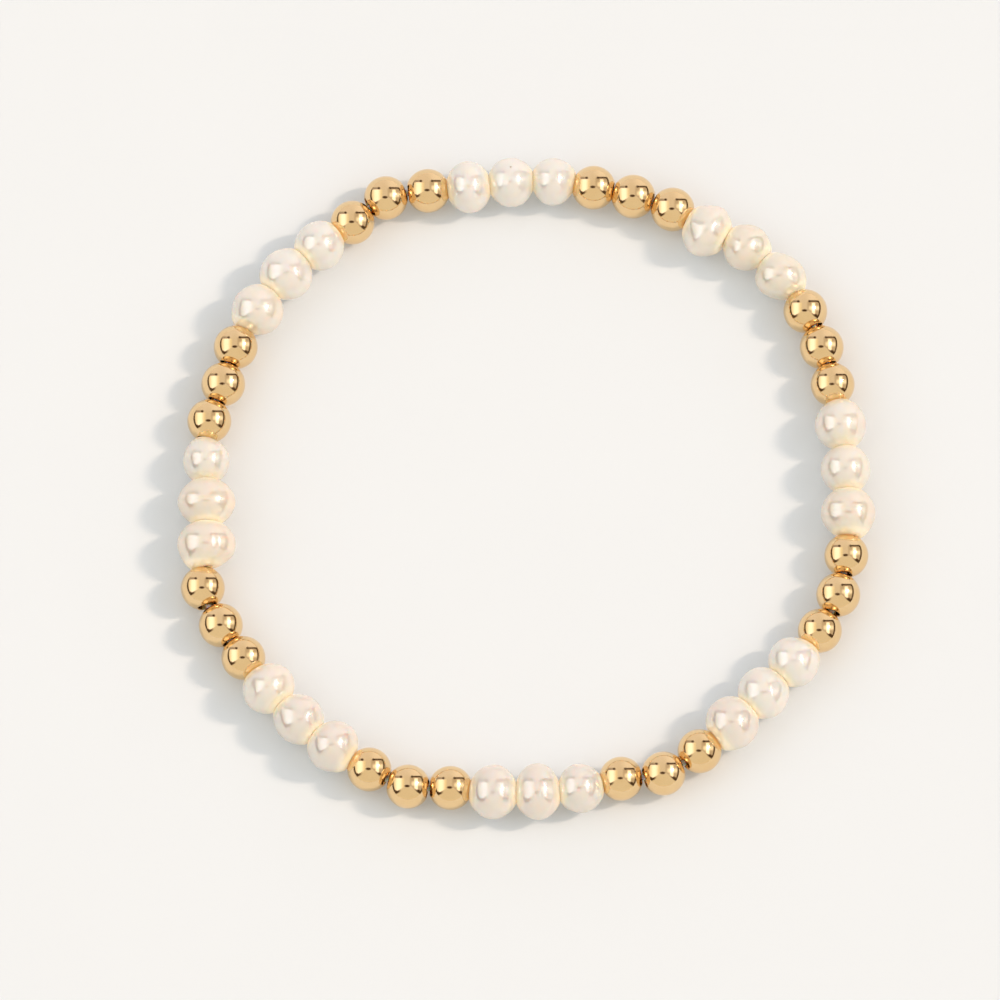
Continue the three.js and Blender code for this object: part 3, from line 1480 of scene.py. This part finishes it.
@dataclass
class Bracelet:
    """The whole string: eight runs of three gold beads and three pearls, and their elastic."""

    runs: int = 8
    beads_per_run: int = 3
    first_seed: int = 40
    gold_lip: float = 0.02 * MM
    beads: list[GoldBead | Pearl] = field(default_factory=list)

    def node_names(self) -> list[str]:
        """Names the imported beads.

        Returns:
            Their nodes in their order on the string.
        """
        names = []
        for run in range(self.runs):
            numbers = [run * self.beads_per_run + place + 1 for place in range(self.beads_per_run)]
            names += [f"gold_bead_{number:02d}" for number in numbers]
            names += [f"pearl_{number:02d}" for number in numbers]
        return names

    def thread(self) -> np.ndarray:
        """Finds each bead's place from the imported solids, and fills the list of beads.

        A bead points from the one before it to the one after it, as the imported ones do.

        Returns:
            The beads' middles in their order on the string.
        """
        names = self.node_names()
        centres = np.array([node_points(name).mean(axis=0) for name in names])
        ahead = unit(np.roll(centres, -1, axis=0) - np.roll(centres, 1, axis=0))
        characters = enumerate(PEARL_CHARACTERS)
        for name, centre, along in zip(names, centres, ahead):
            outward = unit(np.cross((0.0, 0.0, 1.0), along))
            place = Place(centre, np.array([along, outward, np.cross(along, outward)]))
            sizes = BeadSizes.measure(name, place)
            if name.startswith("gold"):
                self.beads.append(GoldBead(name, place, sizes))
            else:
                number, character = next(characters)
                self.beads.append(Pearl(name, place, sizes, character, self.first_seed + number))
        return centres

    def seam(self, before: GoldBead | Pearl, after: GoldBead | Pearl) -> Seam:
        """Finds where two neighbours meet.

        A pearl reaches to a gold bead's lip, and two pearls meet halfway between their packed ends,
        square to the middle of their two ways.

        Args:
            before: The bead that comes first on the string.
            after: The next one.

        Returns:
            The seam.
        """
        way, next_way = before.place.axes[0], after.place.axes[0]
        end = before.place.centre + before.sizes.half_length * way
        start = after.place.centre - after.sizes.half_length * next_way
        if isinstance(before, GoldBead):
            return Seam(end + self.gold_lip * way, way)
        if isinstance(after, GoldBead):
            return Seam(start - self.gold_lip * next_way, next_way)
        return Seam((end + start) / 2.0, unit(way + next_way))

    def build(self, groups: SharedGroups) -> None:
        """Makes every bead and the elastic, and reports each.

        Args:
            groups: The shared node groups.
        """
        centres = self.thread()
        gold = GoldFinish().build(groups)
        nacre = {tint: NacreFinish(tint, *tones).build(groups) for tint, tones in NACRE_TONES.items()}
        beads_before = self.beads[-1:] + self.beads[:-1]
        beads_after = self.beads[1:] + self.beads[:1]
        pieces = []
        for before, bead, after in zip(beads_before, self.beads, beads_after):
            if isinstance(bead, Pearl):
                bead.seams = (self.seam(before, bead), self.seam(bead, after))
            pieces.append(bead.build(nacre if isinstance(bead, Pearl) else gold))
        pieces.append(Elastic(centres).build(ElasticFinish().build(groups)))
        for piece in pieces:
            log.info("%s: %d faces", piece.name, len(piece.data.polygons))


def main() -> None:
    """Builds the setting and the bracelet."""
    logging.basicConfig(level=logging.INFO, format="%(message)s")
    scene = bpy.context.scene
    scene.view_settings.view_transform = "Standard"
    groups = SharedGroups()
    setting = Setting()
    setting.build_camera()
    setting.build_floor(FloorFinish().build(groups))
    scene.world = LightTent().build()
    Bracelet().build(groups)


if __name__ == "__main__":
    main()
